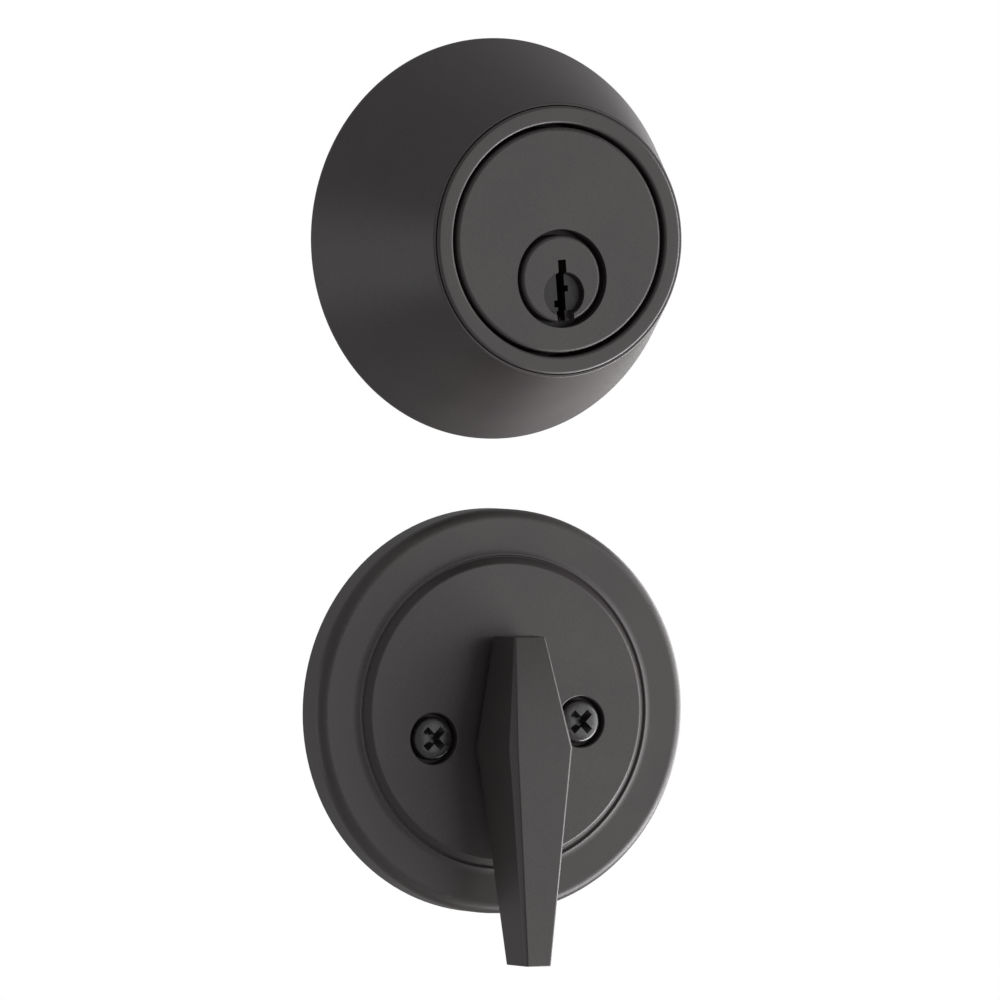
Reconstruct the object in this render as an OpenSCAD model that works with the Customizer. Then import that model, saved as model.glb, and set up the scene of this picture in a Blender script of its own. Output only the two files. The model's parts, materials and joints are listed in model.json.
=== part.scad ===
// Single-cylinder deadbolt lock, laid out in three rows that all face -Y.
// Top: the keyed exterior trim. Middle: the thumbturn trim. Bottom: the bolt unit and its strike.
// The origin is the centre of the exterior trim's back, on the plane of the door's face.

/* [Layout] */
// Roll of the exterior trim about its centre, in degrees
exterior_roll = 4.5; // [-6:0.5:6]
// Drop from the exterior trim's centre to the interior trim's centre
interior_drop = 76.3; // [72:0.1:90]
// Sideways place of the interior trim
interior_shift = -1.2; // [-3:0.1:3]
// Roll of the interior trim about its centre, in degrees, the thumbturn left upright
interior_roll = 5; // [-6:0.5:6]
// Drop from the exterior trim's centre to the bolt's centre line
bolt_drop = 158; // [150:1:200]

/* [Lock] */
// How far the turning axis lies below each trim's centre and below the bolt's centre line
axis_drop = 6.2; // [6:0.1:6.4]
// Distance from the turning axis to the front of the faceplate
backset = 60; // [60:0.5:70]
// Travel of the bolt for a quarter turn
bolt_throw = 25.4; // [24:0.1:25.4]
// Distance between the two mounting screws
screw_pitch = 26.3; // [26:0.1:27]
// How far the mounting screws lie below the trim's centre
screw_drop = 3; // [2.6:0.1:3.4]

/* [Exterior trim] */
// Radius of the collar where it meets the door
collar_r = 32.4; // [32:0.1:33]
// Radius of the collar at its mouth
collar_mouth_r = 22.1; // [22:0.1:22.4]
// Height of the collar's mouth above the door
collar_h = 24.6; // [24.4:0.1:25]
// Outer radius of the guard ring
ring_r = 21.5; // [21.3:0.1:21.6]
// Inner radius of the guard ring
ring_hole_r = 18.75; // [18.5:0.05:19.4]
// Height of the guard ring's face above the door
ring_h = 25.2; // [25:0.1:25.6]
// Radius of the cylinder's face
face_r = 18.1; // [17.4:0.1:18.2]
// Height of the cylinder's face above the door
face_h = 25.1; // [24.8:0.1:25.3]
// Radius of the spigot that enters the door's cross bore
spigot_r = 26.8; // [26.4:0.1:26.9]

/* [Plug] */
// Radius of the plug
plug_r = 6.35; // [6.2:0.05:6.4]
// Radius of the plug's head
plug_head_r = 7; // [6.8:0.05:7.2]
// Height of the plug's face above the door
plug_h = 24.8; // [24.4:0.1:25]
// Number of pin stacks
pin_count = 5; // [4:1:5]
// Distance from one pin stack to the next
pin_pitch = 3.96; // [3.8:0.01:4]
// Width of the keyway
keyway_w = 1.4; // [1.3:0.05:1.7]
// Sideways place of the keyway
keyway_x = 0.3; // [0.2:0.05:0.4]

/* [Interior trim] */
// Radius of the rosette
rosette_r = 32.7; // [32.2:0.1:33]
// Height of the rosette's outer face
rim_h = 6.3; // [6.1:0.1:6.6]
// Height of the raised disc in its middle
rosette_h = 7.7; // [7.5:0.1:8]
// Radius of the raised disc's face
disc_r = 24.2; // [24:0.1:24.6]
// Length of the blade above the turning axis
blade_up = 18.5; // [17:0.1:20]
// Length of the blade below the turning axis
blade_down = 34.4; // [32:0.1:36]
// Height of the blade's front at its widest place
blade_h = 21; // [20:0.1:23]

/* [Bolt unit and strike] */
// Radius of the bolt tube
tube_r = 12.5; // [12.4:0.05:12.6]
// Radius of the bolt's rounded top and bottom
bolt_r = 11.1; // [10.8:0.1:11.2]
// Thickness of the bolt
bolt_w = 15.6; // [15:0.1:16]
// Height of the faceplate and of the strike
plate_h = 57.2; // [57:0.1:60]
// Width of the faceplate
plate_w = 25.4; // [25:0.1:26]
// Width of the strike plate
strike_w = 28.6; // [28:0.1:30]
// Gap between the faceplate and the strike plate
door_gap = 3; // [2:0.5:4]

/* [Hidden] */
$fn = 96;
eps = 0.01;
bronze = "#4c4748";
dark_steel = "#55565a";
steel = "#a9abb0";
brass = "#c2a05a";
plastic = "#2b2b2d";
collar_skirt = 0.6;
collar_wall = 1.6;
ring_gap = 0.15;
ring_flange_r = 23;
ring_flange_top = 18.9;
ring_flange_t = 2;
edge = 0.4;
body_flange_top = ring_flange_top - ring_flange_t - 0.1;
body_flange_t = 2.6;
body_rear = 1;
barrel_r = 9;
tower_w = 9.6;
tower_top = 15.8;
post_r = 4.2;
post_len = 12;
tap_r = 2.05;
shank_r = 2.4;
screw_len = 38;
bore_r = plug_r + 0.05;
rim_r = 7.93;
chamber_r = 1.5;
pin_r = 1.42;
cover_bottom = 13.2;
cover_t = 1.2;
cover_w = 4.4;
plug_tail = 3.2;
clip_t = 0.7;
clip_groove_r = 5.3;
plug_head_len = 3.3;
plug_clip_r = 8.2;
driver_len = 5;
first_pin = plug_h - 6;
cut_steps = [2, 4, 1, 3, 2];
cut_step = 0.6;
shear = sqrt(pow(plug_r, 2) - pow(pin_r, 2)) - 0.05;
tail_w = 5.2;
tail_t = 2.2;
tail_len = 50;
insert_t = 2.4;
insert_r = collar_r - collar_wall - 1.2;
spigot_len = 5;
spigot_wall = 1.6;
sleeve_r = 22.4;
sleeve_wall = 1.8;
hub_r = 5.4;
hub_gap = 0.05;
rosette_wall = 1.8;
head_r = 3.5;
head_seat = 5.4;
recess_r = 4.15;
hub_foot = 3;
washer_r = 7.5;
turn_clip_r = 7.4;
blade_rear_cut = 0.6;
plate_r = 27;
plate_low = 0.4;
plate_t = 2;
spindle_r = 4;
spindle_tail = 8;
case_t = 1.2;
case_z = 4;
case_half = 11.3;
journal_r = 4.6;
crank_r = bolt_throw / 2 / sin(45);
crank_pin_r = 1.1;
crank_w = 4.8;
crank_t = 1.6;
roller_r = 3;
roller_len = 21.4;
tail_pin_r = 1.5;
rivet_r = 1.5;
fork_gap = 3.6;
faceplate_t = 1.6;
backing_t = 1.4;
head_len = 32.2;
tube_rear = backset - 35;
tube_wall = 0.9;
tube_seat = 0.1;
tube_step = 0.2;
face_screws = 20.65;
neck_cut = 0.4;
wood_head_r = 3.9;
wood_shank_r = 2;
wood_neck = 4.4;
strike_shank_r = 2.3;
strike_hole = [18, 26];
strike_x = backset + door_gap;
strike_t = 1.6;
reinforcer_t = 2.4;
box_x = strike_x + strike_t + reinforcer_t;
box_depth = 27;
box_wall = 1.2;

// Places. Inside each of them x is right, y is up and z stands out towards the front.
module exterior() {
    rotate([90, 0, 0]) rotate([0, 0, exterior_roll]) children();
}
module exterior_axis() {
    exterior() translate([0, -axis_drop, 0]) children();
}
module interior() {
    rotate([90, 0, 0]) translate([interior_shift, -interior_drop, 0])
        rotate([0, 0, interior_roll]) children();
}
module interior_axis() {
    interior() translate([0, -axis_drop, 0]) rotate([0, 0, -interior_roll]) children();
}
module bolt_row() {
    rotate([90, 0, 0]) translate([0, -bolt_drop, 0]) children();
}
module bolt_axis() {
    bolt_row() translate([0, -axis_drop, 0]) children();
}
// Turns an upright shape so that it stands along +x
module along_x() {
    rotate([0, 90, 0]) children();
}
module mirrored_x() {
    for (side = [-1, 1]) translate([side * screw_pitch / 2, -screw_drop, 0]) children();
}

// A cylinder between two heights
module disc(r, low, high) {
    translate([0, 0, low]) cylinder(h = high - low, r = r);
}
// A flat ring between two heights
module ring(r, hole, low, high) {
    difference() {
        disc(r, low, high);
        disc(hole, low - 1, high + 1);
    }
}
// A disc whose front edge is a quarter round
module rounded_disc(r, low, high, round) {
    translate([0, 0, low]) rotate_extrude() {
        square([r - round, high - low]);
        square([r, high - low - round]);
        translate([r - round, high - low - round]) intersection() {
            circle(round);
            square(round);
        }
    }
}
// An open spring clip
module clip(r, hole, low, thick) {
    difference() {
        ring(r, hole, low, low + thick);
        translate([-hole * 0.6, -r - 1, low - 1]) cube([hole * 1.2, r + 1, thick + 2]);
    }
}
// A plate outline with round corners, centred
module round_plate(w, h, corner) {
    square([w - 2 * corner, h], center = true);
    square([w, h - 2 * corner], center = true);
    for (sx = [-1, 1], sy = [-1, 1])
        translate([sx * (w / 2 - corner), sy * (h / 2 - corner)]) circle(corner);
}
// A plate that stands across the bolt's line, with w along the depth and h upright
module across(w, h, corner, low, high) {
    translate([low, 0, 0]) along_x() linear_extrude(high - low)
        round_plate(w, h, corner);
}
// A cross recess, cut from the top of a head
module cross_recess(span, width, top, depth) {
    for (turn = [45, 135]) rotate([0, 0, turn])
        translate([-span / 2, -width / 2, top - depth]) cube([span, width, depth + 1]);
}
// A flat-head wood screw with its head's top at zero, pointing down. Its neck has no thread.
module wood_screw(head, shank, length) {
    difference() {
        union() {
            translate([0, 0, -0.4]) cylinder(h = 0.4, r = head);
            translate([0, 0, -2.4]) cylinder(h = 2, r1 = shank, r2 = head);
            disc(shank - neck_cut, -wood_neck, -2.3);
            disc(shank, 4 - length, -wood_neck);
            translate([0, 0, -length]) cylinder(h = 4, r1 = 0.3, r2 = shank);
        }
        cross_recess(head * 1.15, 0.9, 0, 1.3);
    }
}
// The seats for two such screws in plates that end at height top
module screw_seats(head, shank, top) {
    for (side = [-1, 1]) translate([top, side * face_screws, 0]) along_x() {
        disc(shank + 0.2, -12, 1);
        translate([0, 0, -2.5]) cylinder(h = 2, r1 = shank + 0.2, r2 = head + 0.15);
        disc(head + 0.15, -0.5, 1);
    }
}
// A round-wire coil spring, its two ends cut straight across the wire
function coil_point(r, wire, pitch, turn, side, sides) =
    let (a = 360 * turn, b = 360 * side / sides, d = r + wire * cos(b))
    [d * cos(a), d * sin(a), pitch * turn + wire * sin(b)];
module coil(r, wire, length, turns) {
    sides = 6;
    per_turn = 12;
    steps = per_turn * turns;
    pitch = (length - 2 * wire) / turns;
    points = [for (i = [0:steps], j = [0:sides - 1])
        coil_point(r, wire, pitch, i / per_turn, j, sides)];
    walls = [for (i = [0:steps - 1], j = [0:sides - 1])
        let (k = (j + 1) % sides)
        [i * sides + j, (i + 1) * sides + j, (i + 1) * sides + k, i * sides + k]];
    start = [for (j = [0:sides - 1]) j];
    end = [for (j = [sides - 1:-1:0]) steps * sides + j];
    translate([0, 0, wire]) polyhedron(points, concat(walls, [start, end]), convexity = 10);
}

// Exterior trim
module collar() {
    slope = (collar_r - collar_mouth_r) / (collar_h - collar_skirt);
    inner_top = ring_flange_top - ring_flange_t;
    inner_top_r = collar_r - slope * (inner_top - collar_skirt) - collar_wall;
    color(bronze) exterior() rotate_extrude() polygon([
        [collar_r - collar_wall, 0], [collar_r, 0], [collar_r, collar_skirt],
        [collar_mouth_r, collar_h], [ring_r + ring_gap, collar_h],
        [ring_r + ring_gap, ring_flange_top + 0.1], [inner_top_r, ring_flange_top + 0.1],
        [inner_top_r, inner_top], [collar_r - collar_wall, collar_skirt]
    ]);
}
module guard_ring() {
    color(bronze) exterior() rotate_extrude() polygon([
        [ring_hole_r, ring_flange_top - ring_flange_t], [ring_flange_r, ring_flange_top - ring_flange_t],
        [ring_flange_r, ring_flange_top], [ring_r, ring_flange_top], [ring_r, ring_h - edge],
        [ring_r - edge, ring_h], [ring_hole_r + edge / 2, ring_h], [ring_hole_r, ring_h - edge / 2]
    ]);
}
// The pin stacks' lines, each pointing up from the plug's axis
module pin_rows() {
    for (i = [0:pin_count - 1]) pin_row(i) children();
}
module pin_row(i) {
    translate([0, 0, first_pin - pin_pitch * i]) rotate([-90, 0, 0]) children();
}
module cylinder_body() {
    color(bronze) exterior() difference() {
        union() {
            rounded_disc(face_r, body_flange_top, face_h, edge * 1.5);
            disc(ring_flange_r - 0.4, body_flange_top - body_flange_t, body_flange_top);
            translate([0, -axis_drop, 0]) disc(barrel_r, -body_rear, body_flange_top);
            translate([-tower_w / 2, -axis_drop, -body_rear])
                cube([tower_w, axis_drop + tower_top, body_flange_top + body_rear]);
            mirrored_x() disc(post_r, -post_len, body_flange_top);
            translate([-screw_pitch / 2, -screw_drop - 2, 2])
                cube([screw_pitch, 4, body_flange_top - 2]);
        }
        translate([0, -axis_drop, 0]) {
            disc(bore_r, -body_rear - 1, face_h + 1);
            disc(rim_r, plug_h - plug_head_len - 0.1, face_h + 1);
            pin_rows() cylinder(h = axis_drop + cover_bottom, r = chamber_r);
        }
        translate([-cover_w / 2, cover_bottom, -body_rear - 1])
            cube([cover_w, cover_t, first_pin + chamber_r + body_rear + 2]);
        mirrored_x() disc(tap_r, -post_len - 1, 8);
    }
}
module plug() {
    color(bronze) exterior_axis() difference() {
        union() {
            disc(plug_r, -plug_tail, plug_h - 1);
            rounded_disc(plug_head_r, plug_h - plug_head_len, plug_h, 0.6);
        }
        // Clip groove
        ring(plug_r + 1, clip_groove_r, -body_rear - 0.15 - clip_t - 0.05, -body_rear - 0.1);
        // Keyway: a straight slot with one ward groove on each side
        translate([keyway_x - keyway_w / 2, -plug_head_r - 1, 1]) cube([keyway_w, plug_head_r + 4, plug_h]);
        translate([keyway_x - keyway_w / 2 - 0.6, -4.6, 1]) cube([1.2, 1.1, plug_h]);
        translate([keyway_x + keyway_w / 2 - 0.6, -2.2, 1]) cube([1.2, 1, plug_h]);
        // Round key entry and the notch below it
        translate([keyway_x, -2.5, plug_h - 1.2]) cylinder(h = 1.21, r1 = 3.2, r2 = 3.6);
        translate([keyway_x - 1.5, -plug_head_r - 1, plug_h - 1.8]) cube([3, 2.8, 3]);
        pin_rows() cylinder(h = plug_r + 1, r = chamber_r);
        // Pocket for the tailpiece, with the two lugs that drive it
        difference() {
            disc(4.6, -plug_tail - 1, -0.4);
            for (side = [-1, 1]) translate([side * 3.9 - 1.2, -1.2, -plug_tail]) cube([2.4, 2.4, 4]);
        }
    }
}
module key_pins() {
    color(brass) exterior_axis() for (i = [0:pin_count - 1]) pin_row(i) {
        tip = -0.4 + cut_step * cut_steps[i] / 2;
        disc(pin_r, tip + 1, shear);
        translate([0, 0, tip]) cylinder(h = 1, r1 = 0.35, r2 = pin_r);
    }
}
module driver_pins() {
    color(steel) exterior_axis() pin_rows() disc(pin_r, bore_r + 0.03, bore_r + driver_len);
}
module pin_springs() {
    color(steel) exterior_axis() pin_rows() translate([0, 0, bore_r + driver_len + 0.02])
        coil(1.05, 0.18, axis_drop + cover_bottom - bore_r - driver_len - 0.06, 6);
}
module pin_cover() {
    length = first_pin + chamber_r + body_rear + 0.8;
    color(steel) exterior() translate([-cover_w / 2 + 0.03, cover_bottom + 0.03, -body_rear])
        cube([cover_w - 0.06, cover_t - 0.06, length]);
}
module plug_clip() {
    color(steel) exterior_axis() clip(plug_clip_r, clip_groove_r + 0.02, -body_rear - 0.15 - clip_t, clip_t);
}
module tail_cap() {
    color(steel) exterior_axis() ring(plug_r - 0.1, 3.3, -plug_tail - 1, -plug_tail);
}
module tailpiece() {
    color(steel) exterior_axis() {
        translate([-1.4, -4.2, -plug_tail + 0.1]) cube([2.8, 8.4, 1.6]);
        translate([-tail_t / 2, -tail_w / 2, -tail_len]) cube([tail_t, tail_w, tail_len - plug_tail + 0.2]);
    }
}
module collar_insert() {
    color(steel) exterior() difference() {
        union() {
            disc(insert_r, 0, insert_t);
            ring(spigot_r, spigot_r - spigot_wall, -spigot_len, 0.5);
            ring(sleeve_r, sleeve_r - sleeve_wall, insert_t - 0.5, body_flange_top - body_flange_t);
        }
        translate([0, -axis_drop, 0]) disc(barrel_r + 0.5, -1, insert_t + 1);
        translate([-tower_w / 2 - 0.5, -axis_drop, -1]) cube([tower_w + 1, axis_drop + tower_top + 0.5, 5]);
        mirrored_x() disc(post_r + 0.3, -1, insert_t + 1);
        translate([-screw_pitch / 2, -screw_drop - 2.3, -1]) cube([screw_pitch, 4.6, 5]);
    }
}

// Interior trim
module rosette() {
    inside = rosette_h - rosette_wall;
    color(bronze) interior() difference() {
        union() {
            difference() {
                union() {
                    rounded_disc(rosette_r, 0, rim_h, rosette_wall);
                    // The raised disc's steep edge, the groove at its foot and the low bead round it
                    rotate_extrude() polygon([
                        [0, rim_h - 1], [disc_r + 2.4, rim_h - 1], [disc_r + 2.4, rim_h],
                        [disc_r + 1.15, rim_h + 0.55], [disc_r + 0.9, rim_h + 0.1],
                        [disc_r - 0.2, rosette_h], [0, rosette_h]
                    ]);
                }
                disc(rosette_r - rosette_wall, -1, rim_h - rosette_wall);
                disc(disc_r - 1, -1, inside);
            }
            mirrored_x() disc(head_r + 2.2, 2.6, inside + 0.5);
        }
        translate([0, -axis_drop, 0]) disc(hub_r + hub_gap, -1, rosette_h + 1);
        mirrored_x() {
            disc(shank_r + 0.3, -1, rosette_h + 1);
            disc(recess_r, head_seat, rosette_h + 1);
        }
    }
}
module mounting_plate() {
    color(steel) interior() difference() {
        disc(plate_r, plate_low, plate_low + plate_t);
        translate([0, -axis_drop, 0]) disc(hub_r + 0.6, -1, 4);
        mirrored_x() disc(shank_r + 0.3, -1, 4);
    }
}
// One cross-section of the blade, widest at its rear and with its four corners cut. The halves are
// its half widths at the rear, at the side's front edge and on the front face.
module blade_section(y, halves, back, front, drop) {
    rear = halves[0];
    translate([0, y, 0]) rotate([90, 0, 0]) linear_extrude(eps) polygon([
        [-rear + blade_rear_cut, back], [rear - blade_rear_cut, back], [rear, back + blade_rear_cut],
        [halves[1], front - drop], [halves[2], front], [-halves[2], front],
        [-halves[1], front - drop], [-rear, back + blade_rear_cut]
    ]);
}
module blade_waist() {
    blade_section(0.8, [6.4, 5.6, 4.75], 8.4, blade_h, 1.4);
}
module thumbturn() {
    color(bronze) interior_axis() difference() {
        union() {
            hull() {
                blade_section(blade_up, [3.6, 2.75, 2.6], 8.8, blade_h - 5.4, 0.3);
                blade_waist();
            }
            hull() {
                blade_waist();
                blade_section(-blade_down, [2.7, 2.25, 2], 11.8, blade_h - 2, 0.4);
            }
            disc(hub_r, hub_foot, 9);
            disc(hub_r + 0.6, rosette_h + 0.1, 9);
        }
        ring(hub_r + 1, hub_r - 0.8, hub_foot + 0.5, hub_foot + 1.3);
        disc(spindle_r + 0.01, hub_foot - 1, rosette_h);
    }
}
module turn_spindle() {
    color(steel) interior_axis() difference() {
        disc(spindle_r, -spindle_tail, rosette_h - 0.1);
        translate([-tail_t / 2 - 0.2, -tail_w / 2 - 0.2, -spindle_tail - 1])
            cube([tail_t + 0.4, tail_w + 0.4, spindle_tail + 5]);
    }
}
module turn_clip() {
    color(steel) interior_axis() clip(turn_clip_r, hub_r - 0.78, hub_foot + 0.55, clip_t);
}
module turn_washer() {
    low = hub_foot + 0.6 + clip_t;
    high = rosette_h - rosette_wall - 0.05;
    color(steel) interior_axis() rotate_extrude() polygon([
        [hub_r + 0.1, low], [washer_r, high - 0.3], [washer_r, high], [hub_r + 0.1, low + 0.3]
    ]);
}
module mounting_screws() {
    color(dark_steel) interior() mirrored_x() difference() {
        union() {
            rounded_disc(head_r, head_seat, rosette_h + 0.1, 1);
            disc(shank_r - neck_cut, -1, head_seat + 0.1);
            disc(shank_r, 1 - screw_len, -1);
            translate([0, 0, -screw_len]) cylinder(h = 1, r1 = shank_r - 0.8, r2 = shank_r);
        }
        cross_recess(4.6, 1.2, rosette_h + 0.1, 1.8);
    }
}

// Bolt unit
module bolt_outline(gap) {
    intersection() {
        circle(bolt_r + gap);
        square([bolt_w + 2 * gap, 2 * bolt_r + 2], center = true);
    }
}
module faceplate() {
    color(bronze) bolt_row() difference() {
        across(plate_w, plate_h, 6.3, backset - faceplate_t, backset);
        translate([backset - 5, 0, 0]) along_x() linear_extrude(10) bolt_outline(0.3);
        screw_seats(wood_head_r, wood_shank_r, backset);
    }
}
module backing_plate() {
    back = backset - faceplate_t - backing_t;
    color(steel) bolt_row() difference() {
        across(plate_w - 0.8, plate_h - 1, 6, back, back + backing_t);
        translate([back, 0, 0]) along_x() {
            disc(tube_r + 0.01, -1, tube_seat);
            disc(tube_r - tube_step + 0.01, -1, 5);
        }
        screw_seats(wood_head_r, wood_shank_r, backset);
    }
}
module bolt_tube() {
    back = backset - faceplate_t - backing_t;
    color(steel) bolt_row() translate([back, 0, 0]) along_x() {
        ring(tube_r, tube_r - tube_wall, tube_rear - back, tube_seat);
        ring(tube_r - tube_step, tube_r - tube_wall, 0, backing_t);
    }
}
module case_side() {
    difference() {
        union() {
            translate([-18, -case_half, 0]) cube([tube_rear + 17, 2 * case_half, case_t]);
            translate([0, -10.4, 0]) cube([tube_rear + 2, 20.8, case_t]);
        }
        translate([0, -axis_drop, -1]) cylinder(h = 5, r = journal_r + 0.05);
        rivet_places() disc(rivet_r + 0.02, -1, 4);
    }
}
module rivet_places() {
    for (place = [[-14, -8.4], [tube_rear - 4.5, -8.4], [tube_rear - 3.5, 8.6]])
        translate([place[0], place[1], 0]) children();
}
module case_front() {
    color(steel) bolt_row() translate([0, 0, case_z]) case_side();
}
module case_back() {
    color(steel) bolt_row() translate([0, 0, -case_z - case_t]) case_side();
}
module case_rivets() {
    color(steel) bolt_row() rivet_places() {
        disc(rivet_r + 0.7, -case_z, case_z);
        disc(rivet_r, -case_z - case_t, case_z + case_t);
        for (side = [-1, 1]) translate([0, 0, side * (case_z + case_t + 0.3)])
            cylinder(h = 0.6, r = rivet_r + 0.9, center = true);
    }
}
module cam() {
    color(brass) bolt_axis() difference() {
        union() {
            disc(5.2, -case_z + 0.3, case_z - 0.3);
            disc(journal_r, -case_z - case_t - 0.8, case_z + case_t + 0.8);
            rotate([0, 0, 45]) {
                for (low = [-2 * crank_t, crank_t]) {
                    translate([-crank_w / 2, 0, low]) cube([crank_w, crank_r, crank_t]);
                    translate([0, crank_r, 0]) disc(crank_w / 2, low, low + crank_t);
                }
                translate([0, crank_r, 0]) disc(crank_pin_r, -2 * crank_t + 0.2, 2 * crank_t - 0.2);
            }
        }
        translate([-tail_t / 2 - 0.2, -tail_w / 2 - 0.2, -10]) cube([tail_t + 0.4, tail_w + 0.4, 20]);
    }
}
module bolt_head() {
    rear = backset - 0.2 - head_len;
    color(steel) bolt_row() difference() {
        translate([rear, 0, 0]) along_x() linear_extrude(head_len) bolt_outline(0);
        translate([rear - 1, 0, 0]) along_x() disc(roller_r + 0.05, 0, head_len - 2.4);
        translate([rear - 1, -5, -1.5]) cube([7.4, 10, 3]);
        translate([rear + 3, 0, 0]) disc(tail_pin_r + 0.03, -20, 20);
    }
}
module roller_pin() {
    color(dark_steel) bolt_row() translate([backset - head_len + 6.8, 0, 0]) along_x()
        disc(roller_r, 0, roller_len);
}
module bolt_tail() {
    rear = backset - 0.2 - head_len;
    crank_x = -bolt_throw / 2;
    color(steel) bolt_row() difference() {
        translate([0, 0, -1.3]) linear_extrude(2.6) {
            translate([crank_x - 3.8, 0]) square([rear - crank_x + 5, 5]);
            translate([rear - 4, -4]) square([10, 8]);
            for (side = [-1, 1]) translate([crank_x + side * (fork_gap / 2 + 1) - 1, 1]) square([2, 11.2]);
        }
        translate([rear + 3, 0, 0]) disc(tail_pin_r + 0.03, -20, 20);
    }
}
module tail_pin() {
    color(dark_steel) bolt_row() translate([backset - 0.2 - head_len + 3, 0, 0]) disc(tail_pin_r, -7, 7);
}
module faceplate_screws() {
    color(dark_steel) bolt_row() for (side = [-1, 1]) translate([backset - 0.1, side * face_screws, 0])
        along_x() wood_screw(wood_head_r, wood_shank_r, 19);
}

// Strike
module strike_plate() {
    color(bronze) bolt_row() difference() {
        across(strike_w, plate_h, 6.3, strike_x, strike_x + strike_t);
        across(strike_hole[0], strike_hole[1], 3, strike_x - 5, strike_x + 5);
        mirror_seats();
    }
}
// Screw seats that face the door, for the strike
module mirror_seats() {
    translate([2 * strike_x, 0, 0]) mirror([1, 0, 0])
        screw_seats(wood_head_r, strike_shank_r, strike_x);
}
module strike_reinforcer() {
    color(steel) bolt_row() difference() {
        across(strike_w - 1, plate_h - 1, 6, strike_x + strike_t, box_x);
        across(strike_hole[0] + 3, strike_hole[1] + 3, 4, strike_x, box_x + 5);
        mirror_seats();
    }
}
module strike_box() {
    color(plastic) bolt_row() difference() {
        across(strike_hole[0] + 2.8, strike_hole[1] + 2.8, 4, strike_x + strike_t, box_x + box_depth);
        across(strike_hole[0], strike_hole[1], 3, strike_x, box_x + box_depth - box_wall);
    }
}
module strike_screws() {
    color(dark_steel) bolt_row() for (side = [-1, 1]) translate([strike_x + 0.1, side * face_screws, 0])
        rotate([0, -90, 0]) wood_screw(wood_head_r, strike_shank_r, 50);
}

collar();
guard_ring();
cylinder_body();
plug();
key_pins();
driver_pins();
pin_springs();
pin_cover();
plug_clip();
tail_cap();
tailpiece();
collar_insert();
rosette();
mounting_plate();
thumbturn();
turn_spindle();
turn_clip();
turn_washer();
mounting_screws();
faceplate();
backing_plate();
bolt_tube();
case_front();
case_back();
case_rivets();
cam();
bolt_head();
roller_pin();
bolt_tail();
tail_pin();
faceplate_screws();
strike_plate();
strike_reinforcer();
strike_box();
strike_screws();
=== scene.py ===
"""A single-cylinder deadbolt lock in dark bronze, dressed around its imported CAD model.

Everything is in metres in the CAD frame: +X is the way the bolt is thrown, +Y runs into the door
and +Z is up. The trims' faces look towards -Y. Piece sizes are written in mm.
"""
import json
import math

import bmesh
import bpy
from mathutils import Matrix, Vector


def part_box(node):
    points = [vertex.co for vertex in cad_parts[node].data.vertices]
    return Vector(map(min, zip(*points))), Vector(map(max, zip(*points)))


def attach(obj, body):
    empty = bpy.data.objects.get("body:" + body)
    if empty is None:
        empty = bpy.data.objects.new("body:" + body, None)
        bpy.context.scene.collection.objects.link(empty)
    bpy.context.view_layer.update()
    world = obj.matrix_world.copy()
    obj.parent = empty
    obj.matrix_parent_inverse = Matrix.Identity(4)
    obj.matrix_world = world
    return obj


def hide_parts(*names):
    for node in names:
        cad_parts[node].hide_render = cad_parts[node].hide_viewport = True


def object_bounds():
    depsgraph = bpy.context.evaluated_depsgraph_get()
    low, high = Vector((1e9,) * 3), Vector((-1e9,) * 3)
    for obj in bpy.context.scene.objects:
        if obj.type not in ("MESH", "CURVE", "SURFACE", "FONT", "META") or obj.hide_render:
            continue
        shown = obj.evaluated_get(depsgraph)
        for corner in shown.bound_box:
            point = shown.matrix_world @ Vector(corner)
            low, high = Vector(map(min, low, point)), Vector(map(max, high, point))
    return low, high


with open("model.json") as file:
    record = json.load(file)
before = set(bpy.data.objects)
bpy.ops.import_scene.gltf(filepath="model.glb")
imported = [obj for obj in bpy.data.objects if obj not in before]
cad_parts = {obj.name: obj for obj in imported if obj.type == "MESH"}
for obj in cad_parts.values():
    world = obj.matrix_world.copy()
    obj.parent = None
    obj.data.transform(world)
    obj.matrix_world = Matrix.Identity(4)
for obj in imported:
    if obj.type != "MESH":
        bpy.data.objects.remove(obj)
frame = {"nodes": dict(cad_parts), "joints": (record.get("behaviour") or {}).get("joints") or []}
cad_low, cad_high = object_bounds()
scene = bpy.context.scene
MM = 0.001

# ------------------------------------------------------------------ camera
# A long lens set far out, from the left and a little above. The exterior collar fills two fifths
# of the frame's width and the middle of the frame lies between the two trims.
collar_low, collar_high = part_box("collar")
collar_share = 0.4024
field = (collar_high.x - collar_low.x) / collar_share
azimuth, elevation = math.radians(-25.3), math.radians(1.6)
camera = bpy.data.cameras.new("catalogue_camera")
camera.lens = 560
camera.clip_end = 50
distance = field * camera.lens / camera.sensor_width
back = Vector((
    math.sin(azimuth) * math.cos(elevation),
    -math.cos(azimuth) * math.cos(elevation),
    math.sin(elevation),
))
facing = (-back).to_track_quat("-Z", "Y")
right, up = facing @ Vector((1, 0, 0)), facing @ Vector((0, 1, 0))
aim = right * 1.2 * MM - up * 42.3 * MM + back * 11 * MM
camera_object = bpy.data.objects.new("catalogue_camera", camera)
camera_object.location = aim + back * distance
camera_object.rotation_mode = "QUATERNION"
camera_object.rotation_quaternion = facing
scene.collection.objects.link(camera_object)
scene.camera = camera_object
scene.view_settings.view_transform = "Standard"


# ------------------------------------------------------------------ studio
# A white studio: a round light table under the set, white surroundings, and large soft lamps.
# Most of the light comes from the right and from below, through the table.
def linear(hex_colour):
    """An sRGB hex colour as the linear values that shaders take."""
    parts = [int(hex_colour[i : i + 2], 16) / 255 for i in (1, 3, 5)]
    return [c / 12.92 if c <= 0.04045 else ((c + 0.055) / 1.055) ** 2.4 for c in parts] + [1]


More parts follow.
